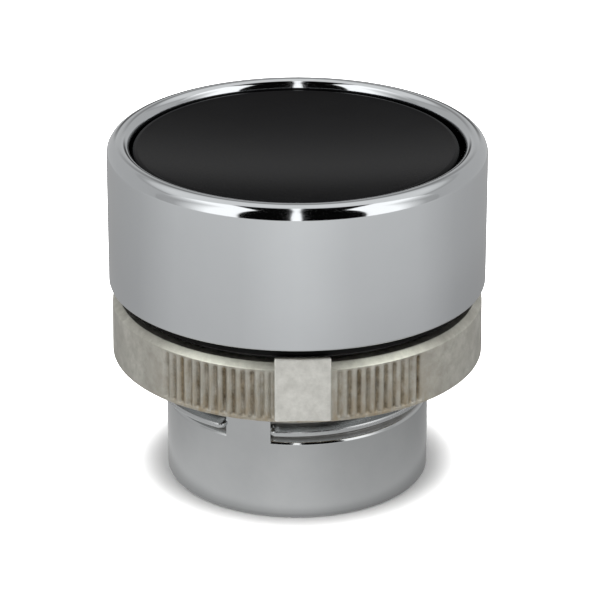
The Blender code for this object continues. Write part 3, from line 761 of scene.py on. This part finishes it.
def make_world():
    """A soft studio: a dark card with a slit of light in it, which bends overhead, between two softboxes.

    Card and softboxes lie on a wall in front and on a ceiling, so a direction is first cast on those.
    """
    world = bpy.data.worlds.new("studio")
    bpy.context.scene.world = world
    world.use_nodes = True
    tree = world.node_tree
    tree.nodes.clear()
    direction = node(tree, "ShaderNodeTexCoord").outputs["Generated"]
    x, y, z = node(tree, "ShaderNodeSeparateXYZ", {0: direction}).outputs
    ahead = calc(tree, "DIVIDE", y, -WALL_DISTANCE)
    overhead = calc(tree, "DIVIDE", z, CEILING_HEIGHT)
    reach = calc(tree, "MAXIMUM", calc(tree, "MAXIMUM", ahead, overhead), 0.001)
    across = calc(tree, "DIVIDE", x, reach)
    along = calc(tree, "DIVIDE", y, reach)
    squeezed = calc(tree, "DIVIDE", across, calc(tree, "ADD", calc(tree, "ABSOLUTE", across), 1.0))
    front = ramp(
        tree, remap(tree, squeezed, -1.0, 1.0),
        [(0.5 + 0.5 * place / (abs(place) + 1.0), level) for place, level in CARD],
    )
    rise = remap(tree, calc(tree, "ARCSINE", z), 0.0, pi / 2)
    rear = ramp(tree, rise, [(angle / 90.0, level) for angle, level in REAR_WALL])
    behind = remap(tree, along, *REAR_FROM, smooth=True)
    from_back = calc(tree, "ABSOLUTE", calc(tree, "ARCTAN2", x, y))
    aside = remap(tree, from_back, radians(REAR_SIDES_FROM[0]), radians(REAR_SIDES_FROM[1]), smooth=True)
    low_part = remap(tree, rise, REAR_SIDES_TOP[0] / 90.0, REAR_SIDES_TOP[1] / 90.0)
    rear = mix_colour(tree, product(tree, aside, low_part), rear, (REAR_SIDES, REAR_SIDES, REAR_SIDES))
    look = mix_colour(tree, behind, front, rear)
    camera = node(tree, "ShaderNodeLightPath").outputs["Is Camera Ray"]
    strength = calc(tree, "MULTIPLY_ADD", camera, 1.0 - STUDIO_LEVEL, STUDIO_LEVEL)
    colour = mix_colour(tree, camera, look, (1.0, 1.0, 1.0))
    background = node(tree, "ShaderNodeBackground", {"Color": colour, "Strength": strength})
    node(tree, "ShaderNodeOutputWorld", {"Surface": background.outputs[0]})


def make_light(name, place, aim, size, watts):
    data = bpy.data.lights.new(name, "AREA")
    data.shape = "DISK"
    data.size = size
    data.energy = watts
    light = bpy.data.objects.new(name, data)
    light.location = place
    light.rotation_euler = (Vector(aim) - Vector(place)).to_track_quat("-Z", "Y").to_euler()
    light.visible_glossy = False
    bpy.context.scene.collection.objects.link(light)


CAMERA_TILT = radians(23.6)
CAMERA_DISTANCE, CAMERA_MIDDLE_Z, CAMERA_LENS = 0.2795, 0.0125, 216.4
CAMERA_AIM = (-0.00018, 0.00178)             # how far it looks past the middle, to the right and up


def make_camera():
    data = bpy.data.cameras.new("camera")
    data.sensor_width = 36.0
    data.lens = CAMERA_LENS
    data.clip_start = 0.01
    data.clip_end = 10.0
    camera = bpy.data.objects.new("camera", data)
    bpy.context.scene.collection.objects.link(camera)
    back, up = cos(CAMERA_TILT), sin(CAMERA_TILT)
    camera.location = (0.0, -back * CAMERA_DISTANCE, CAMERA_MIDDLE_Z + up * CAMERA_DISTANCE)
    aside, above = CAMERA_AIM
    aim = Vector((aside, above * up, CAMERA_MIDDLE_Z + above * back))
    camera.rotation_euler = (aim - camera.location).to_track_quat("-Z", "Y").to_euler()
    bpy.context.scene.camera = camera


chrome = chrome_material()
zinc = satin_zinc_material()
raw_zinc = raw_zinc_material(NUT_TOP * MM)
plastic = black_plastic_material()
rubber = plain_material("gasket_rubber", (0.002, 0.002, 0.002), (0.004, 0.004, 0.004), 0.5, 0.2, gloss=0.03)
nitrile = plain_material("nitrile", (0.010, 0.010, 0.011), (0.018, 0.018, 0.018), 0.40, 0.2)
acetal = plain_material("acetal", (0.70, 0.69, 0.64), (0.78, 0.77, 0.72), 0.32, 0.14)
steel = plain_material("spring_steel", (0.38, 0.38, 0.38), (0.50, 0.50, 0.49), 0.22, 0.2, 1.0)
stainless = plain_material("stainless", (0.52, 0.52, 0.51), (0.62, 0.62, 0.61), 0.20, 0.2, 1.0)
dark_steel = plain_material("blackened_steel", (0.02, 0.02, 0.02), (0.05, 0.05, 0.05), 0.40, 0.2, 0.6)

make_bezel(chrome)
make_cap(plastic)
make_gasket(rubber)
make_shank(zinc)
make_nut(raw_zinc)
make_lock_washer(dark_steel)
make_spring(steel)

for name, mat in {
    "bezel_o_ring": nitrile, "plunger_seal": nitrile, "stop_washer": rubber,
    "guide_bush": acetal, "plunger": acetal, "plunger_foot": acetal,
    "cap_snap_ring": steel, "retaining_clip": steel,
    "spring_seat_washer": stainless, "foot_screw": stainless,
}.items():
    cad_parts[name].data.materials.clear()
    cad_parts[name].data.materials.append(mat)

make_floor()
make_world()
make_light("overhead", (0.0, -0.05, 0.6), (0.0, 0.0, 0.0), 0.5, 16.0)
make_camera()
bpy.context.scene.view_settings.view_transform = "Standard"
